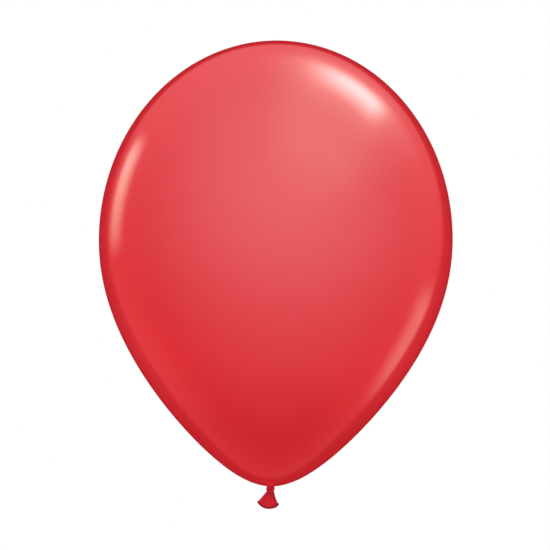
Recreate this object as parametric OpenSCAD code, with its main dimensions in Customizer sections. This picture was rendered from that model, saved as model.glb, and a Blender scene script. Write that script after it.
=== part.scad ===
// Inflated latex balloon, tied off with an overhand knot in its own neck.
// The film is modelled as eight zones, from the envelope down to the rolled lip.
// Origin: on the axis, at the waist of the neck where a ribbon is tied. +Z runs up to the crown.
// The neck bends about level X and Y axes through the origin. The tail bends in its root: about
// a level Y axis just under the knot, and about a level X axis a little lower.

/* [Envelope] */
// Greatest width of the inflated envelope
body_d = 280; // [240:1:320]
// Height from the widest section up to the crown
crown_h = 157.8; // [135:0.1:185]
// Depth from the widest section down to the foot of the curve
foot_h = 195; // [165:1:225]
// How much the lower half narrows towards the foot, 0 being a plain ellipse
taper = 0.37; // [0.30:0.01:0.44]
// Thickness of the film
film = 0.4; // [0.3:0.05:0.5]

/* [Neck] */
// Radius of the gathered neck at its ends
neck_r = 3.0; // [2.9:0.05:3.2]
// Radius at the waist, where a ribbon sits
waist_r = 2.7; // [2.5:0.05:2.8]
// Length of the neck between the envelope and the knot
neck_len = 1.4; // [1.2:0.1:2.0]
// Gap between the neck and the throat of the envelope
throat_gap = 0.1; // [0.05:0.05:0.2]

/* [Knot] */
// Thickness of the strand in the outer loop
loop_d = 2.0; // [1.8:0.1:2.0]
// Outer width of the loop
knot_d = 6.8; // [6.8:0.1:7.4]
// Tilt of the loop, its left side down
loop_tilt = 10; // [0:1:14]
// Radius of the two strands inside the loop, pressed side by side
core_r = 1.3; // [1.1:0.05:1.3]
// Gap between those two strands
core_gap = 0.1; // [0.05:0.05:0.2]
// Turn of the pair about the axis
core_turn = 35; // [0:5:90]

/* [Tail] */
// Length from the knot to the lowest point of the lip
tail_len = 13.7; // [12:0.1:15]
// Width of the lip over the bead
lip_w = 17.8; // [15:0.1:20]
// Thickness of the flattened lip over the bead
lip_t = 5.4; // [4.8:0.1:5.4]
// How far the middle of the lip hangs below its corners
lip_drop = 4.1; // [3:0.1:5]
// How far the lip is carried to the left of the axis
lip_shift = 1.5; // [0:0.1:2.5]
// Share of its depth by which one corner of the lip hangs lower and the other higher
lip_skew = 0.095; // [0:0.005:0.12]
// Diameter of the rolled bead
bead_d = 1.3; // [1.1:0.1:1.4]
// Thickness of the film in the tail
tail_film = 0.4; // [0.3:0.05:0.5]
// Share of the tail that is gathered film pressed solid, before it opens
root_share = 0.40; // [0.38:0.01:0.45]
// Gap between the gathered root and the open part
root_gap = 0.25; // [0.2:0.05:0.4]

/* [Hidden] */

// A slight gap where one zone ends and the next begins
seam = 0.05;

// The skin of the envelope runs from the crown at 0 degrees round to the throat
body_r = body_d / 2;
throat_angle = 180 - asin((neck_r + throat_gap) / (body_r * (1 - taper)));
wide_z = neck_len / 2 - foot_h * cos(throat_angle);
skin_steps = 60;

// The knot hangs under the neck, and is as high as its tilted loop needs
loop_r = (knot_d - loop_d) / 2;
knot_h = loop_d + 2 * loop_r * sin(loop_tilt) + 2 * seam;
knot_top = -neck_len / 2;
knot_foot = knot_top - knot_h;
// Each strand in the loop stops this far short of the end that the other one reaches
strand_step = 0.4;

// The tail is a stack of rings, from share 0 of its length under the knot to share 1 at the lip
bead_r = bead_d / 2;
corner_depth = tail_len - lip_drop - bead_r;
root_half = [neck_r - 0.1, neck_r - 0.3];
lip_half = [lip_w / 2 - bead_r, lip_t / 2 - bead_r];
tail_sides = 40;
root_rings = 5;
tail_rings = 12;
bead_sides = 12;

// ---- Envelope ----

// Radius and height of the skin at an angle from the crown, set in from the outside by inset
function skin(a, inset = 0) =
    a < 90
    ? [(body_r - inset) * sin(a), wide_z + (crown_h - inset) * cos(a)]
    : [(body_r - inset) * sin(a) * (1 - taper * cos(a) * cos(a)),
       wide_z + (foot_h - inset) * cos(a)];

module envelope() {
    outside = [for (i = [0:skin_steps]) skin(throat_angle * i / skin_steps)];
    inside = [for (i = [skin_steps:-1:0]) skin(throat_angle * i / skin_steps, film)];
    color("crimson")
        rotate_extrude($fn = 96)
            polygon(concat(outside, inside));
}

// ---- Neck ----

// The gathered stub fills the throat and ends at the knot, with a groove round its waist
module neck() {
    groove_depth = neck_r - waist_r;
    groove_r = (pow(neck_len / 2, 2) + pow(groove_depth, 2)) / (2 * groove_depth);
    color("firebrick")
        difference() {
            translate([0, 0, knot_top])
                cylinder(r = neck_r, h = neck_len + 2 * film, $fn = 64);
            rotate_extrude($fn = 64)
                translate([waist_r + groove_r, 0])
                    circle(r = groove_r, $fn = 48);
        }
}

// ---- Knot ----

// One of the two strands inside the loop: half of a round core, facing the way turn says
module half_strand(turn, top, foot) {
    rotate([0, 0, turn])
        intersection() {
            translate([0, 0, foot])
                cylinder(r = core_r, h = top - foot, $fn = 48);
            translate([core_gap / 2, -knot_d / 2, foot - seam])
                cube([knot_d, knot_d, top - foot + 2 * seam]);
        }
}

// The strand that comes down from the neck
module knot_standing() {
    color("firebrick")
        half_strand(core_turn, knot_top, knot_foot + strand_step);
}

// The end of the strand, which leaves the knot as the tail
module knot_tuck() {
    color("firebrick")
        half_strand(core_turn + 180, knot_top - strand_step, knot_foot);
}

// The turn that wraps round both
module knot_loop() {
    color("crimson")
        translate([0, 0, knot_top - knot_h / 2])
            rotate([0, -loop_tilt, 0])
                rotate_extrude($fn = 72)
                    translate([loop_r, 0])
                        circle(r = loop_d / 2, $fn = 36);
}

// ---- Tail ----

// Half the width and half the thickness of the tail at share s of its length
function half_w(s) = root_half.x + (lip_half.x - root_half.x) * pow(s, 1.1);
function half_t(s) = root_half.y + (lip_half.y - root_half.y) * sin(90 * s);

// A point of the tail at share s of its length and angle a round its section.
// The tail swings left, and the front and back of the lip hang lower than its corners.
function tail_point(s, a, inset = 0) =
    [(half_w(s) - inset) * cos(a) - lip_shift * sin(90 * s),
     (half_t(s) - inset) * sin(a),
     knot_foot - s * corner_depth * (1 + lip_skew * s * cos(a)) - lip_drop * pow(s * sin(a), 2)];

function tail_ring(s, inset = 0) =
    [for (i = [0:tail_sides - 1]) tail_point(s, 360 * i / tail_sides, inset)];

// Faces between rings of points, where each ring follows on from the one before it
function ring_faces(rings, sides, closed) =
    [for (j = [0:rings - (closed ? 1 : 2)], i = [0:sides - 1])
        let (this = j * sides, next = (j + 1) % rings * sides, k = (i + 1) % sides)
        [this + i, this + k, next + k, next + i]];

// The strips from front to back that close a ring. Each is flat, as front and back mirror.
function cap_strip(i, sides) =
    i == 0 ? [0, 1, sides - 1]
    : i == sides / 2 - 1 ? [i, i + 1, i + 2]
    : [i, i + 1, sides - i - 1, sides - i];

// Gathered film under the knot, pressed solid
module tail_root() {
    rings = [for (j = [0:root_rings]) tail_ring(root_share * j / root_rings)];
    last_ring = root_rings * tail_sides;
    top = [for (i = [tail_sides - 1:-1:0]) i];
    foot = [for (i = [0:tail_sides / 2 - 1])
        [for (k = cap_strip(i, tail_sides)) last_ring + k]];
    color("firebrick")
        polyhedron([for (ring = rings, p = ring) p],
                   concat([top], foot, ring_faces(len(rings), tail_sides, false)));
}

// The open trumpet of film: its outside runs down to the lip, and its inside back up
module tail() {
    top = root_share + root_gap / corner_depth;
    shares = [for (j = [0:tail_rings]) top + (1 - top) * j / tail_rings];
    outside = [for (j = [0:tail_rings]) tail_ring(shares[j])];
    inside = [for (j = [tail_rings:-1:0]) tail_ring(shares[j], tail_film)];
    rings = concat(outside, inside);
    color("firebrick")
        polyhedron([for (ring = rings, p = ring) p],
                   ring_faces(len(rings), tail_sides, true));
}

// The rolled ring round the mouth
function unit(v) = v / norm(v);

function bead_ring(a) =
    let (along = unit(tail_point(1, a + 1) - tail_point(1, a - 1)),
         side = unit(cross(along, [0, 0, 1])),
         up = cross(side, along))
    [for (i = [0:bead_sides - 1])
        let (b = 360 * i / bead_sides)
        tail_point(1, a, tail_film / 2) + bead_r * (cos(b) * side + sin(b) * up)];

module lip_bead() {
    color("darkred")
        polyhedron([for (j = [0:tail_sides - 1], p = bead_ring(360 * j / tail_sides)) p],
                   ring_faces(tail_sides, bead_sides, true));
}

// ---- All zones ----

envelope();
neck();
knot_standing();
knot_loop();
knot_tuck();
tail_root();
tail();
lip_bead();
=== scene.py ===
"""An inflated latex balloon, tied with an overhand knot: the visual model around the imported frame."""
import math

import bpy
import numpy as np
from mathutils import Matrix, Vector


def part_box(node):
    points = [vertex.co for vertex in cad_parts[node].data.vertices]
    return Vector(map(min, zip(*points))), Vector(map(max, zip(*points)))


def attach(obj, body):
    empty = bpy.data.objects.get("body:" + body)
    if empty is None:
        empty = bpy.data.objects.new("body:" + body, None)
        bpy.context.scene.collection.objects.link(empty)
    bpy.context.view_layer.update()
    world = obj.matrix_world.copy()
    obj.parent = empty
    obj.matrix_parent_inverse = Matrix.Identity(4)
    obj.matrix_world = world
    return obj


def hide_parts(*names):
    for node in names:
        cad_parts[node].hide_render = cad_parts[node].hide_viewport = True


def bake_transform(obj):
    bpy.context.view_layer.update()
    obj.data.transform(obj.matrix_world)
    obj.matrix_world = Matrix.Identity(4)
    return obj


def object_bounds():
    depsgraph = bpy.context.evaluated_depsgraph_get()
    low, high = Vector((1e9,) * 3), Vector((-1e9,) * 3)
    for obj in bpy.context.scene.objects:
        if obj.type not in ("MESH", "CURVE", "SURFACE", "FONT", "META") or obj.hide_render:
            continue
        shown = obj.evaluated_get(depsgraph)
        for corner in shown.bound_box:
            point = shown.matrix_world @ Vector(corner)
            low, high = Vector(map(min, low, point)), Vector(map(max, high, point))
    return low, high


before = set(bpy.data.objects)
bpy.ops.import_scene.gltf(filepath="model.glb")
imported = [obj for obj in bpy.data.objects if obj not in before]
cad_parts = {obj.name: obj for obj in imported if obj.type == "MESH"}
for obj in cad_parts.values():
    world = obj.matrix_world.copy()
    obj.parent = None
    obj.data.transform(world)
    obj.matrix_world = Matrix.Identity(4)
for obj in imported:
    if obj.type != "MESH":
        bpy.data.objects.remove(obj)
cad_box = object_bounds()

MM = 0.001
DEG = math.pi / 180

# ---- Places and sizes, in metres, from the frame ----

ENVELOPE_LOW, ENVELOPE_HIGH = (Vector(c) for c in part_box("envelope"))
LOOP_LOW, LOOP_HIGH = (Vector(c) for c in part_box("knot_loop"))
LIP_LOW, LIP_HIGH = (Vector(c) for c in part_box("lip_bead"))

BODY_R = (ENVELOPE_HIGH.x - ENVELOPE_LOW.x) / 2
CROWN_Z = ENVELOPE_HIGH.z
FOOT_Z = ENVELOPE_LOW.z
KNOT = (LOOP_LOW + LOOP_HIGH) / 2
KNOT_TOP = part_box("knot_standing")[1][2]
TAIL_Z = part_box("tail_root")[1][2]

# The outline of the envelope: half an ellipse above the widest section, and below it an ellipse
# that narrows by TAPER towards the foot
CROWN_SHARE = 157.8 / 352.7
CROWN_H = CROWN_SHARE * (CROWN_Z - FOOT_Z)
TAPER = 0.37
FOOT_R = 3.1 * MM
FOOT_ANGLE = math.pi - math.asin(FOOT_R / (BODY_R * (1 - TAPER)))
WIDE_Z = CROWN_Z - CROWN_H
FOOT_H = (FOOT_Z - WIDE_Z) / math.cos(FOOT_ANGLE)


# ---- Camera ----

# The share of the frame's height that the balloon fills
FRAME_SHARE = 0.85
LENS = 150.0
SENSOR = 36.0
ROLL = -1.2 * DEG


def make_camera():
    """A long lens level with the middle of the balloon, rolled as the photographer held it."""
    low, high = (Vector(c) for c in cad_box)
    middle = (low + high) / 2
    distance = (high.z - low.z) / FRAME_SHARE * LENS / SENSOR
    data = bpy.data.cameras.new("camera")
    data.lens = LENS
    data.sensor_width = SENSOR
    camera = bpy.data.objects.new("camera", data)
    camera.location = (0, middle.y - distance, middle.z)
    camera.rotation_euler = (math.pi / 2, ROLL, 0)
    bpy.context.scene.collection.objects.link(camera)
    bpy.context.scene.camera = camera


make_camera()


# ---- Curves and waves ----

def smooth(start, end, x):
    """0 at start, 1 at end, and an even curve between. The end may be the lower of the two."""
    t = np.clip((x - start) / (end - start), 0, 1)
    return t * t * (3 - 2 * t)


def near(x, middle, width):
    """1 at the middle, falling away over the width on both sides."""
    return np.exp(-((x - middle) / width) ** 2)


def waves(a, *terms):
    """A sum of waves: how many there are round a ring, how high they are, and their phase."""
    return sum(height * np.sin(count * a + phase) for count, height, phase in terms)


def circle(count):
    """The angles of evenly spaced points round a ring."""
    return np.arange(count) * 2 * math.pi / count


def pleats(a, count):
    """Round ridges with sharp valleys between them, from 0.4 on a ridge to -0.6 in a valley."""
    return np.abs(np.cos(count / 2 * a)) - 0.6


NECK_PLEATS = 14


def folds(a, twist=0.0):
    """The unevenly spaced gathers of the neck, which go on below the knot."""
    uneven = a + twist + waves(a, (2, 0.16, 1.0), (3, 0.10, 2.3))
    return pleats(uneven, NECK_PLEATS)


# ---- Meshes ----

# The mesh attribute for the latex's thickness at each point, from 0 where it is thin to 1
# where it is gathered. It also carries painted shade, which darkens the valleys of folds and pleats
THICK_AND_SHADE = "thick_and_shade"


def add_mesh(name, points, faces, thick_and_shade=None):
    """A smooth shaded object, with the latex's thickness at each point, and painted shade in its
    creases.
    """
    mesh = bpy.data.meshes.new(name)
    mesh.from_pydata(points.tolist(), [], faces)
    mesh.update()
    mesh.shade_smooth()
    if thick_and_shade is not None:
        mesh.attributes.new(THICK_AND_SHADE, "FLOAT", "POINT").data.foreach_set("value", thick_and_shade)
    obj = bpy.data.objects.new(name, mesh)
    bpy.context.scene.collection.objects.link(obj)
    return obj


def ring_faces(rings, sides, closed=False):
    """Quads between rings of points, where each ring follows on from the one before it."""
    faces = []
    for j in range(rings if closed else rings - 1):
        here = j * sides
        after = (j + 1) % rings * sides
        for i in range(sides):
            k = (i + 1) % sides
            faces.append((here + i, after + i, after + k, here + k))
    return faces


def capped(name, rings, thick_and_shade):
    """A tube through an array of rings, closed at both ends with a point in the middle."""
    count, sides, _ = rings.shape
    points = np.concatenate([rings.reshape(-1, 3), rings[:1].mean(1), rings[-1:].mean(1)])
    thick_and_shade = np.broadcast_to(thick_and_shade, (count, sides))
    thick_and_shade = np.concatenate([thick_and_shade.ravel(), thick_and_shade[:1].mean(1), thick_and_shade[-1:].mean(1)])
    faces = ring_faces(count, sides)
    last = (count - 1) * sides
    for i in range(sides):
        k = (i + 1) % sides
        faces.append((count * sides, i, k))
        faces.append((count * sides + 1, last + k, last + i))
    return add_mesh(name, points, faces, thick_and_shade)


def looped(name, rings, thick_and_shade):
    """A closed loop of rings, such as a tube that meets itself."""
    count, sides, _ = rings.shape
    thick_and_shade = np.broadcast_to(thick_and_shade, (count, sides)).ravel()
    return add_mesh(name, rings.reshape(-1, 3), ring_faces(count, sides, closed=True), thick_and_shade)


def sharpen(obj, sides, rings):
    """Keeps the shading of the two sides of a ring apart, as at the cut edge of a film."""
    for edge in obj.data.edges:
        first, second = (v // sides for v in edge.vertices)
        edge.use_edge_sharp = first == second and first in rings
    return obj


def revolve(profile, angles, lift):
    """Rings of points from a profile of (radius, height), moved outwards by lift."""
    tangent = np.gradient(profile, axis=0)
    tangent /= np.linalg.norm(tangent, axis=1, keepdims=True)
    r = profile[:, 0, None] - tangent[:, 1, None] * lift
    z = profile[:, 1, None] + tangent[:, 0, None] * lift
    return np.stack([r * np.cos(angles), r * np.sin(angles), z], axis=2)


# ---- Envelope and neck ----

THROAT_SIDES = 224
FILM = 0.3 * MM
WAIST_R = 2.95 * MM
# The turn from the underside of the envelope into the neck: how far it reaches out from the
# waist, its height, and where it starts
FILLET_R = 1.5 * MM
FILLET_H = 1.25 * MM
FILLET_TOP = FOOT_Z + 0.12 * MM
# The share of that turn at which the envelope ends and the neck begins
SEAM = 0.62
PLEAT_DEPTH = 0.36 * MM
PLEAT_REACH = 4.2 * MM
PLEAT_TWIST = -0.02 / MM
# The skin starts beside the very top of the crown, and has closer rings near the neck
SKIN_START = 1.2 * DEG
SKIN_FINE = 168 * DEG


def skin(t):
    """Radius and height of the outline at angle t from the crown."""
    upper = t < math.pi / 2
    r = BODY_R * np.sin(t) * np.where(upper, 1, 1 - TAPER * np.cos(t) ** 2)
    z = WIDE_Z + np.where(upper, CROWN_H, FOOT_H) * np.cos(t)
    return np.stack([r, z], axis=1)


def fillet(share):
    """The outline from the underside of the envelope into the neck, share from 0 to 1."""
    r = WAIST_R + FILLET_R * (1 - np.sin(share * math.pi / 2))
    z = FILLET_TOP - FILLET_H * (1 - np.cos(share * math.pi / 2))
    return np.stack([r, z], axis=1)


def gathers(outline):
    """The pleats that run out from the neck into the underside of the envelope."""
    r, z = outline[:, 0, None], outline[:, 1, None]
    fade = np.exp(-(r - WAIST_R) / PLEAT_REACH) * (z < WIDE_Z)
    return folds(circle(THROAT_SIDES)[None, :], PLEAT_TWIST * (z - FOOT_Z)) * fade


def film_thickness_and_shade(outline, gathered):
    """Thin where the film is stretched most, darker over the lower part, thicker in the spot at the
    crown and close to the neck, and darkest in the valleys between the pleats, which is painted shade."""
    r, z = outline[:, 0, None], outline[:, 1, None]
    low = 0.5 * smooth(110 * MM, 30 * MM, z)
    crown = 0.45 * smooth(11 * MM, 7 * MM, r) * (z > WIDE_Z)
    throat = 0.3 * np.exp(-(r - WAIST_R) / (4 * MM)) * (z < WIDE_Z)
    # The valleys between the pleats get painted shade
    return low + crown + throat - 0.6 * gathered


def make_envelope():
    """The inflated film, outside and inside, drawn down into gathers where it meets the neck."""
    fillet_r = WAIST_R + FILLET_R
    skin_end = math.pi - math.asin(fillet_r / (BODY_R * (1 - TAPER)))
    coarse = skin(np.linspace(SKIN_START, SKIN_FINE, 150))
    fine = skin(np.linspace(SKIN_FINE, skin_end, 46))[1:]
    # The last of the skin comes to the height at which the fillet starts
    fine[:, 1] += (FILLET_TOP - fine[-1, 1]) * smooth(12 * MM, fillet_r, fine[:, 0])
    outline = np.concatenate([coarse, fine, fillet(np.linspace(0, SEAM, 14))[1:]])

    angles = circle(THROAT_SIDES)
    gathered = gathers(outline)
    outside = revolve(outline, angles, gathered * PLEAT_DEPTH)
    inside = revolve(outline, angles, gathered * PLEAT_DEPTH - FILM)[::-1]
    thick_and_shade = film_thickness_and_shade(outline, gathered)
    piece = capped("envelope_skin", np.concatenate([outside, inside]),
                   np.concatenate([thick_and_shade, thick_and_shade[::-1]]))
    return sharpen(piece, THROAT_SIDES, (len(outside) - 1, len(outside)))


def make_neck():
    """The gathered film from the seam in the throat, in at the waist and down into the knot."""
    waist = fillet(np.linspace(SEAM, 1, 10))
    z = np.linspace(waist[-1, 1], KNOT_TOP - 0.9 * MM, 18)[1:]
    below = waist[-1, 1] - z
    into_knot = 1.1 * MM * smooth(0.5 * MM, 1.4 * MM, below)
    r = WAIST_R + 0.10 * below - into_knot
    outline = np.concatenate([waist, np.stack([r, z], axis=1)])

    gathered = gathers(outline)
    rings = revolve(outline, circle(THROAT_SIDES), gathered * PLEAT_DEPTH)
    # The neck is drawn tight and is also made paler than the gathers above it, a painted lightening
    # against the shade it sits in between the envelope and the knot
    thick_and_shade = film_thickness_and_shade(outline, gathered) - 0.45
    piece = capped("neck_gather", rings, thick_and_shade)
    return sharpen(piece, THROAT_SIDES, (0, len(rings) - 1))


# ---- Knot ----

# The middle of the strand through an overhand knot, from the knot's centre: down from the neck,
# once round the outside over its own start, and through the middle to the tail
STRAND = [(0.2, 0.3, 2.2), (0.45, 0.4, 1.2), (0.8, 0.45, 0.3), (1.35, -0.3, -0.35),
          (1.5, -1.4, -0.5), (0.6, -2.1, -0.5), (-0.9, -2.0, -0.4), (-2.05, -0.9, -0.2),
          (-2.2, 0.5, 0.0), (-1.3, 1.8, 0.2), (0.3, 2.2, 0.4), (1.75, 1.4, 0.5),
          (2.2, 0.0, 0.55), (1.6, -1.4, 0.62), (0.3, -1.85, 0.5), (-0.75, -1.2, 0.0),
          (-0.7, -0.4, -0.7), (-0.4, -0.1, -1.4), (-0.3, 0.0, -2.4)]
# What one unit of those points is across, through and up
STRAND_UNIT = (1.05 * MM, 1.05 * MM, MM)
STRAND_R = 1.15 * MM
STRAND_SIDES = 60
STRAND_PLEATS = 5
STRAND_PLEAT_DEPTH = 0.20 * MM
# Steps between two points, and the steps at which the outer turn starts and ends
STEPS = 12
LOOP_START = 4 * STEPS
LOOP_END = 15 * STEPS
# By how many steps a part of the strand runs on into the next
OVERLAP = 4


def curve_through(points, steps):
    """A smooth curve through points, with the same number of steps between each pair."""
    p = np.array(points)
    p = np.concatenate([2 * p[:1] - p[1:2], p, 2 * p[-1:] - p[-2:-1]])
    out = []
    for a, b, c, d in zip(p, p[1:], p[2:], p[3:]):
        for u in np.arange(steps) / steps:
            out.append(0.5 * (2 * b + (c - a) * u + (2 * a - 5 * b + 4 * c - d) * u ** 2
                              + (3 * b - a - 3 * c + d) * u ** 3))
    out.append(p[-2])
    return np.array(out)


def sweep(path, radius):
    """Rings of the pleated strand along a path, and a value round each for the colour, which is
    painted shade in the valleys between the pleats. A ring is turned as little as possible from the one
    before, and the pleats wander and change in depth."""
    along = np.gradient(path, axis=0)
    along /= np.linalg.norm(along, axis=1, keepdims=True)
    side = np.cross(along[0], (0, 1, 0.3))
    angles = circle(STRAND_SIDES)
    rings, thick_and_shade = [], []
    for j, (centre, t) in enumerate(zip(path, along)):
        side = side - t * (side @ t)
        side /= np.linalg.norm(side)
        up = np.cross(t, side)
        uneven = angles + 0.012 * j + waves(angles, (2, 0.25, 0.03 * j))
        ridges = pleats(uneven, STRAND_PLEATS)
        depth = STRAND_PLEAT_DEPTH * (0.7 + 0.3 * np.sin(0.17 * j))
        r = (radius[j] + depth * ridges)[:, None]
        rings.append(centre + r * (np.cos(angles)[:, None] * side + np.sin(angles)[:, None] * up))
        # Painted shade: darker in the valleys between the pleats
        thick_and_shade.append(0.15 - 0.6 * ridges)
    return np.array(rings), np.array(thick_and_shade)


def make_knot():
    """One strand through an overhand knot, cut where its parts pass inside one another."""
    path = curve_through(STRAND, STEPS) * STRAND_UNIT + np.array(KNOT)
    step = np.arange(len(path))
    slimmer = 0.16 * smooth(LOOP_START, 0, step) + 0.20 * smooth(LOOP_END - STEPS, len(path), step)
    radius = STRAND_R * (1 - slimmer) * (1 + 0.04 * np.sin(0.21 * step))
    rings, thick_and_shade = sweep(path, radius)
    parts = (("knot_standing_strand", slice(0, LOOP_START + OVERLAP)),
             ("knot_loop_strand", slice(LOOP_START, LOOP_END + OVERLAP)),
             ("knot_tuck_strand", slice(LOOP_END, None)))
    return [capped(name, rings[part], thick_and_shade[part]) for name, part in parts]


# ---- Tail ----

# The tail runs from share 0 of its length, under the knot, to share 1 at the lip. The front and
# back of the lip hang lower than its corners, and one corner hangs lower than the other.
BEAD_R = 0.65 * MM
LIP_DROP = 4.1 * MM
LIP_SHIFT = 1.8 * MM
LIP_SKEW = 0.095
CORNER_DEPTH = TAIL_Z - LIP_LOW.z - LIP_DROP - BEAD_R
# Half the width and half the thickness, at the knot and at the lip
ROOT_HALF_W = 2.9 * MM
ROOT_HALF_T = 2.7 * MM
LIP_HALF_W = (LIP_HIGH.x - LIP_LOW.x) / 2 - BEAD_R
LIP_HALF_T = (LIP_HIGH.y - LIP_LOW.y) / 2 - BEAD_R
TAIL_SIDES = 240
TAIL_FILM = 0.28 * MM
# The root starts inside the knot, and the open skirt follows on from it
ROOT_START = -0.08
SKIRT_START = 0.30


def tail_folds(s, a):
    """The two folds pressed into the tail, from 0 to 1: a deep one down the right side and a
    short one across the front."""
    grown = np.clip(s, 0, 1)
    side = near(a, (326 + 6 * grown) * DEG, 8 * DEG) * (1 - 0.6 * grown)
    front = near(a, (262 + 95 * grown) * DEG, 9 * DEG) * near(s, 0.15, 0.30)
    return side, front


def tail_surface(s, a, inset=0.0):
    """A point of the flattened trumpet at share s of its length and angle a round its section,
    where 270 degrees faces the camera. It swells out from under the knot in gathers that open
    towards the lip."""
    s, a = np.broadcast_arrays(s, a)
    grown = np.clip(s, 0, 1)
    flare = np.sin(grown * math.pi / 2)
    shoulder = np.sqrt(1 - 0.75 * np.clip((0.05 - s) / 0.13, 0, 1) ** 2)
    half_w = ROOT_HALF_W + (LIP_HALF_W - ROOT_HALF_W) * grown ** 1.1
    half_t = ROOT_HALF_T + (LIP_HALF_T - ROOT_HALF_T) * flare
    pressed_flat = 0.45 * MM * near(s, 0.34, 0.22) + 0.75 * MM * near(s, 0.68, 0.24)

    side_fold, front_fold = tail_folds(s, a)
    gather = folds(a) * 0.42 * MM * np.exp(-1.8 * grown)
    ripple = grown * waves(a, (3, 0.20 * MM, 0.8), (7, 0.12 * MM, 2.0))
    out = gather + ripple - 0.75 * MM * side_fold - 0.40 * MM * front_fold - inset

    across, through = np.cos(a), np.sin(a)
    squarer = np.sign(through) * np.abs(through) ** (1 - 0.22 * grown)
    curl = 0.45 * MM * grown ** 2 * np.sin(2.6 * across)
    x = (half_w * shoulder + out) * across - LIP_SHIFT * flare
    y = ((half_t - pressed_flat) * shoulder + out) * squarer + curl

    hang = LIP_DROP * grown ** 2 * np.abs(through) ** 1.1
    frill = grown ** 3 * waves(a, (5, 0.12 * MM, 0.7))
    z = TAIL_Z - s * CORNER_DEPTH * (1 + LIP_SKEW * grown * across) - hang + frill
    return np.stack([x, y, z], axis=-1)


def tail_thickness_and_shade(s, a):
    """Thick under the knot and towards the bead. Darker in the valleys of the gathers and in the two
    folds, which is painted shade, and darker along the two pressed edges, partly for the doubled film
    there and partly as painted shade of the edges turning away.
    """
    s, a = np.broadcast_arrays(s, a)
    side_fold, front_fold = tail_folds(s, a)
    grown = np.clip(s, 0, 1)
    # The valleys of the gathers under the knot get painted shade
    root = 0.55 * np.exp(-1.6 * grown) - 0.8 * folds(a) * np.exp(-2.2 * grown)
    # Doubled film along the pressed edges, together with painted shade of the edges turning away
    edges = 0.5 * near(np.sin(a), 0, 0.22) * smooth(0.02, 0.2, s)
    rolled = 0.35 * smooth(0.90, 1.0, s)
    # The two folds get painted shade
    return root + 0.6 * side_fold + 0.5 * front_fold + edges + rolled


def make_tail_root():
    """The gathered film under the knot."""
    s = np.linspace(ROOT_START, SKIRT_START, 46)[:, None]
    a = circle(TAIL_SIDES)[None, :]
    piece = capped("tail_root_gather", tail_surface(s, a), tail_thickness_and_shade(s, a))
    return sharpen(piece, TAIL_SIDES, (0, len(s) - 1))


def make_tail():
    """The open end: film outside down to the lip, and inside back up."""
    s = np.linspace(SKIRT_START, 1, 60)[:, None]
    a = circle(TAIL_SIDES)[None, :]
    outside = tail_surface(s, a)
    inside = tail_surface(s[::-1], a, TAIL_FILM)
    thick_and_shade = np.concatenate([tail_thickness_and_shade(s, a), tail_thickness_and_shade(s[::-1], a)])
    piece = looped("tail_skirt", np.concatenate([outside, inside]), thick_and_shade)
    return sharpen(piece, TAIL_SIDES, (0, 2 * len(s) - 1))


def make_lip():
    """The rolled bead round the mouth, a little uneven as a hand-rolled ring is."""
    a = circle(TAIL_SIDES)
    middle = tail_surface(1.0, a, TAIL_FILM / 2)
    along = np.roll(middle, -1, axis=0) - np.roll(middle, 1, axis=0)
    along /= np.linalg.norm(along, axis=1, keepdims=True)
    side = np.cross(along, (0, 0, 1))
    side /= np.linalg.norm(side, axis=1, keepdims=True)
    up = np.cross(side, along)
    radius = BEAD_R * (0.97 + 0.03 * np.sin(9 * a) * np.sin(4 * a + 1))
    b = circle(28)[None, :, None]
    outward = np.cos(b) * side[:, None, :] + np.sin(b) * up[:, None, :]
    return looped("lip_roll", middle[:, None, :] + radius[:, None, None] * outward, 0.5)


# ---- Materials ----

class Nodes:
    """A material's node tree, with short calls to add and join nodes."""

    def __init__(self, name):
        self.material = bpy.data.materials.new(name)
        self.material.use_nodes = True
        self.tree = self.material.node_tree
        self.shader = self.tree.nodes["Principled BSDF"]

    def add(self, kind, **values):
        """A node, with values for its settings or its inputs, where _ stands for a space."""
        node = self.tree.nodes.new(kind)
        for key, value in values.items():
            if hasattr(node, key):
                setattr(node, key, value)
            else:
                node.inputs[key.replace("_", " ")].default_value = value
        return node

    def join(self, source, output, target, socket):
        """Joins a node's output to another node's input."""
        self.tree.links.new(source.outputs[output], target.inputs[socket])

    def noise(self, place, scale, detail):
        """A cloudy pattern fixed to the object, with its scale per metre."""
        node = self.add("ShaderNodeTexNoise", Scale=scale, Detail=detail, Roughness=0.55)
        self.join(place, "Object", node, "Vector")
        return node

    def ramp(self, source, stops):
        """A map from a number to a colour, with two or more stops of (place, colour)."""
        node = self.add("ShaderNodeValToRGB")
        elements = node.color_ramp.elements
        for i, (place, colour) in enumerate(stops):
            element = elements[i] if i < 2 else elements.new(place)
            element.position = place
            element.color = (*colour, 1)
        self.join(source, 0, node, "Fac")
        return node

    def spread(self, noise, low, high):
        """A noise from 0 to 1 spread between low and high."""
        node = self.add("ShaderNodeMapRange", clamp=True, To_Min=low, To_Max=high)
        self.join(noise, "Fac", node, "Value")
        return node

    def bump(self, noise, height, strength, below=None):
        """A surface raised by a noise, on top of another bump or none."""
        node = self.add("ShaderNodeBump", Strength=strength, Distance=height)
        self.join(noise, "Fac", node, "Height")
        if below is not None:
            self.join(below, 0, node, "Normal")
        return node

    def set(self, **values):
        """Sets the shader's own inputs, where _ stands for a space."""
        for key, value in values.items():
            self.shader.inputs[key.replace("_", " ")].default_value = value


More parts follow.
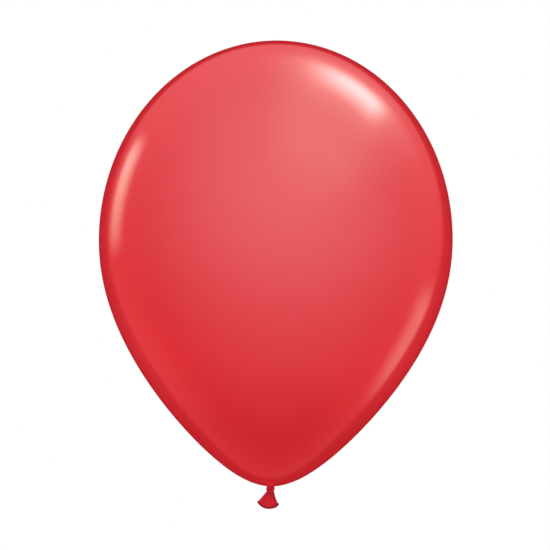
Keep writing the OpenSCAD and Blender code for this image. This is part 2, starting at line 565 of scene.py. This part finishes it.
def latex(name, colours, cloud_size, rough, wrinkle, grain):
    """Dipped latex. The colours go from thin to gathered film, and towards the dark end also where
    painted shade is put in the valleys of folds and pleats. They are mottled by a cloud, the gloss is
    hazy in patches, and fine wrinkles and a skin grain lift the surface. A wrinkle or grain is (scale
    per metre, height in metres)."""
    m = Nodes(name)
    place = m.add("ShaderNodeTexCoord")
    thick_and_shade = m.add("ShaderNodeAttribute", attribute_name=THICK_AND_SHADE)
    cloud = m.noise(place, 1 / cloud_size, 4.0)
    mottled = m.add("ShaderNodeMath", operation="ADD", use_clamp=True)
    # The attribute holds the latex's thickness together with the painted shade in its creases
    m.join(thick_and_shade, "Fac", mottled, 0)
    m.join(m.spread(cloud, -0.12, 0.12), 0, mottled, 1)
    m.join(m.ramp(mottled, zip((0.0, 0.5, 1.0), colours)), 0, m.shader, "Base Color")

    haze = m.noise(place, 4 / cloud_size, 5.0)
    m.join(m.spread(haze, *rough), 0, m.shader, "Roughness")
    creases = m.noise(place, wrinkle[0], 2.0)
    skin_grain = m.noise(place, grain[0], 2.0)
    coarse = m.bump(creases, wrinkle[1], 0.5)
    m.join(m.bump(skin_grain, grain[1], 0.3, coarse), 0, m.shader, "Normal")
    return m


def latex_film():
    """Stretched film: clear red with a high gloss and a red bloom towards its outline. Its two
    faces reflect more than one would, so its index is above that of latex."""
    # Thin, thicker and deepest film; the deepest is reached in the pleats' valleys, as painted shade
    colours = ((0.730, 0.0260, 0.0370), (0.610, 0.0170, 0.0235), (0.420, 0.0090, 0.0150))
    m = latex("latex_film", colours, 60 * MM, (0.09, 0.14), (9.0, 0.0006), (900.0, 0.00002))
    m.set(IOR=1.7, Sheen_Weight=0.5, Sheen_Roughness=0.3, Sheen_Tint=(1.0, 0.02, 0.03, 1))
    return m.material


def folded_latex(name, colours, rough):
    """Unstretched latex: deeper red, satin, and powdery along its edges."""
    m = latex(name, colours, 2.4 * MM, rough, (600.0, 0.00006), (4000.0, 0.00001))
    m.set(Specular_IOR_Level=0.08, Coat_Weight=0.10, Coat_Roughness=0.18)
    m.set(Sheen_Weight=0.15, Sheen_Roughness=0.4, Sheen_Tint=(1.0, 0.10, 0.13, 1))
    return m.material


# Thin, gathered and deepest latex; the deepest stop is reached mostly where painted shade darkens the
# folds
FOLDED_RED = ((0.660, 0.0100, 0.0220), (0.470, 0.0060, 0.0150), (0.210, 0.0025, 0.0070))
ROLLED_RED = ((0.360, 0.0060, 0.0150), (0.280, 0.0050, 0.0130), (0.170, 0.0030, 0.0080))

film_material = latex_film()
gathered_material = folded_latex("latex_gathered", FOLDED_RED, (0.30, 0.46))
tail_material = folded_latex("latex_tail", FOLDED_RED, (0.30, 0.46))
bead_material = folded_latex("latex_bead", ROLLED_RED, (0.26, 0.40))


# ---- Making the pieces ----

envelope = make_envelope()
neck = make_neck()
standing, loop, tuck = make_knot()
root = make_tail_root()
skirt = make_tail()
lip = make_lip()

# Each piece, its material, the record's slot for it and the CAD node that it stands for
for piece, material, slot, node in (
        (envelope, film_material, "latex_film", "envelope"),
        (neck, gathered_material, "latex_gathered", "neck"),
        (standing, gathered_material, "latex_gathered", "knot_standing"),
        (loop, gathered_material, "latex_gathered", "knot_loop"),
        (tuck, gathered_material, "latex_gathered", "knot_tuck"),
        (root, gathered_material, "latex_gathered", "tail_root"),
        (skirt, tail_material, "latex_tail", "tail"),
        (lip, bead_material, "latex_bead", "lip_bead")):
    piece.data.materials.append(material)
    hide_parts(node)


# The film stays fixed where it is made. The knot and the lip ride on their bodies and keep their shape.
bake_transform(envelope)
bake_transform(neck)
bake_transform(root)
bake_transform(skirt)
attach(standing, "knot")
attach(loop, "knot")
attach(tuck, "knot")
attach(lip, "tail")


# ---- Studio ----

COOL_WHITE = (0.90, 0.98, 0.98)
# On red film a pale green light makes a warm pink highlight
PALE_GREEN = (0.80, 1.00, 0.80)
RED = (1.00, 0.04, 0.05)

# The panels that show in the gloss: colour, strength, sides and edges, as Studio.panel takes them
PANELS = (
    # The window at the upper right: its bright middle, and two fainter and wider glows round it
    (COOL_WHITE, 4.1, (8, 30, 39, 48), (0.05, 0.39, 0.42, 0.64)),
    (PALE_GREEN, 1.0, (-2, 22, 40, 54), (-0.30, 0.30, 0.40, 0.84)),
    (PALE_GREEN, 0.7, (-14, 18, 40, 70), (-1.00, -0.50, 0.46, 0.70)),
    # The strip down the left, in two layers, so that it is brighter at its upper end
    (PALE_GREEN, 1.0, (-97, -87, -66, -56), (0.40, 0.58, 0.63, 0.75)),
    (PALE_GREEN, 1.2, (-92, -67, -66, -56), (0.40, 0.58, 0.63, 0.75)),
    # The strip at the lower right
    (PALE_GREEN, 0.8, (99, 112, 124, 138), (0.30, 0.55, 0.60, 0.90)),
)


class Studio:
    """The world's node tree: light by direction, with x to the right, y to the back and z up."""

    def __init__(self):
        world = bpy.data.worlds.new("studio")
        bpy.context.scene.world = world
        world.use_nodes = True
        self.tree = world.node_tree
        self.tree.nodes.clear()
        self.direction = self.tree.nodes.new("ShaderNodeTexCoord").outputs["Generated"]
        split = self.tree.nodes.new("ShaderNodeSeparateXYZ")
        self.tree.links.new(self.direction, split.inputs[0])
        right, self.back, up = split.outputs
        # The angle round the line of sight, from straight up towards the right
        self.around = self.math("ARCTAN2", right, up)

    def put(self, value, socket):
        """Joins an output to a socket, or sets the socket to a number."""
        if isinstance(value, bpy.types.NodeSocket):
            self.tree.links.new(value, socket)
        else:
            socket.default_value = value

    def math(self, operation, first, second):
        """The result of an operation on two outputs or numbers."""
        node = self.tree.nodes.new("ShaderNodeMath")
        node.operation = operation
        self.put(first, node.inputs[0])
        self.put(second, node.inputs[1])
        return node.outputs[0]

    def step(self, value, start, end, low=0.0, high=1.0):
        """An even rise from low, where the value is start, to high, where it is end."""
        node = self.tree.nodes.new("ShaderNodeMapRange")
        node.interpolation_type = "SMOOTHSTEP"
        for socket, number in zip(node.inputs, (value, start, end, low, high)):
            self.put(number, socket)
        return node.outputs[0]

    def toward(self, vector):
        """The cosine of the angle from a direction."""
        node = self.tree.nodes.new("ShaderNodeVectorMath")
        node.operation = "DOT_PRODUCT"
        self.tree.links.new(self.direction, node.inputs[0])
        node.inputs[1].default_value = vector
        return node.outputs["Value"]

    def panel(self, strength, sides, edges):
        """How bright a soft panel is. The sides are four angles round the line of sight, in
        degrees from straight up, and the edges four distances towards the back. The panel
        brightens between the first two and fades between the last two."""
        glow = strength
        for value, (a, b, c, d) in ((self.around, [v * DEG for v in sides]), (self.back, edges)):
            glow = self.math("MULTIPLY", glow, self.step(value, a, b))
            glow = self.math("MULTIPLY", glow, self.step(value, c, d, 1.0, 0.0))
        return glow

    def light(self, strength, colour=(1, 1, 1)):
        """A light of one colour, as strong as an output or number says."""
        node = self.tree.nodes.new("ShaderNodeBackground")
        node.inputs["Color"].default_value = (*colour, 1)
        self.put(strength, node.inputs["Strength"])
        return node.outputs[0]

    def both(self, first, second):
        """Two lights together."""
        node = self.tree.nodes.new("ShaderNodeAddShader")
        self.put(first, node.inputs[0])
        self.put(second, node.inputs[1])
        return node.outputs[0]

    def choose(self, factor, first, second):
        """The first light where the factor is 0, and the second where it is 1."""
        node = self.tree.nodes.new("ShaderNodeMixShader")
        for value, socket in zip((factor, first, second), node.inputs):
            self.put(value, socket)
        return node.outputs[0]


def room_light(studio):
    """What the gloss reflects: a pale room that is brightest above the camera, the panels, red
    light thrown back from behind, and a dark round backdrop that darkens the balloon's rim."""
    above_camera = studio.math("ADD", studio.toward((0.12, -0.80, 0.57)), 1.0)
    walls = studio.math("MULTIPLY", studio.math("POWER", above_camera, 2.0), 0.42)
    walls = studio.math("MAXIMUM", studio.math("SUBTRACT", walls, 0.08), 0.0)
    walls = studio.math("ADD", walls, studio.step(studio.back, 0.0, 0.5, 0.0, 0.08))
    ceiling = studio.step(studio.toward((0.0, 0.50, 0.87)), 0.2, 1.0, 0.0, 0.13)
    room = studio.light(studio.math("ADD", walls, ceiling))
    for colour, *panel in PANELS:
        room = studio.both(room, studio.light(studio.panel(*panel), colour))
    thrown_back = studio.math("MULTIPLY", studio.step(studio.back, -0.20, 0.60), 0.5)
    room = studio.both(room, studio.light(thrown_back, RED))
    backdrop = studio.step(studio.toward((0.025, 0.976, -0.215)), 0.69, 0.76)
    return studio.choose(backdrop, room, studio.light(0.0))


def make_studio():
    """White to the camera, an even light for the colours, and the room for the gloss."""
    bpy.context.scene.view_settings.view_transform = "Standard"
    studio = Studio()
    even = studio.math("ADD", studio.toward((0.0, 0.15, 0.0)), 1.13)
    rays = studio.tree.nodes.new("ShaderNodeLightPath").outputs
    lit = studio.choose(rays["Is Glossy Ray"], studio.light(even), room_light(studio))
    shown = studio.choose(rays["Is Camera Ray"], lit, studio.light(1.0))
    output = studio.tree.nodes.new("ShaderNodeOutputWorld")
    studio.tree.links.new(shown, output.inputs["Surface"])


def floor_material():
    """White, and clear when it is seen from underneath."""
    material = bpy.data.materials.new("floor")
    material.use_nodes = True
    tree = material.node_tree
    tree.nodes.clear()
    white = tree.nodes.new("ShaderNodeEmission")
    white.inputs["Color"].default_value = (1, 1, 1, 1)
    clear = tree.nodes.new("ShaderNodeBsdfTransparent")
    underneath = tree.nodes.new("ShaderNodeNewGeometry").outputs["Backfacing"]
    choose = tree.nodes.new("ShaderNodeMixShader")
    output = tree.nodes.new("ShaderNodeOutputMaterial")
    tree.links.new(underneath, choose.inputs[0])
    tree.links.new(white.outputs[0], choose.inputs[1])
    tree.links.new(clear.outputs[0], choose.inputs[2])
    tree.links.new(choose.outputs[0], output.inputs["Surface"])
    return material


def make_floor():
    """A plain floor just under the tail, which neither lights the balloon nor shows in its gloss."""
    half = 4.0
    z = cad_box[0][2] - 2 * MM
    corners = np.array([(-half, -half, z), (half, -half, z), (half, half, z), (-half, half, z)])
    plane = add_mesh("floor", corners, [(0, 1, 2, 3)])
    plane.data.materials.append(floor_material())
    plane.visible_diffuse = False
    plane.visible_glossy = False
    plane.visible_shadow = False


make_studio()
make_floor()
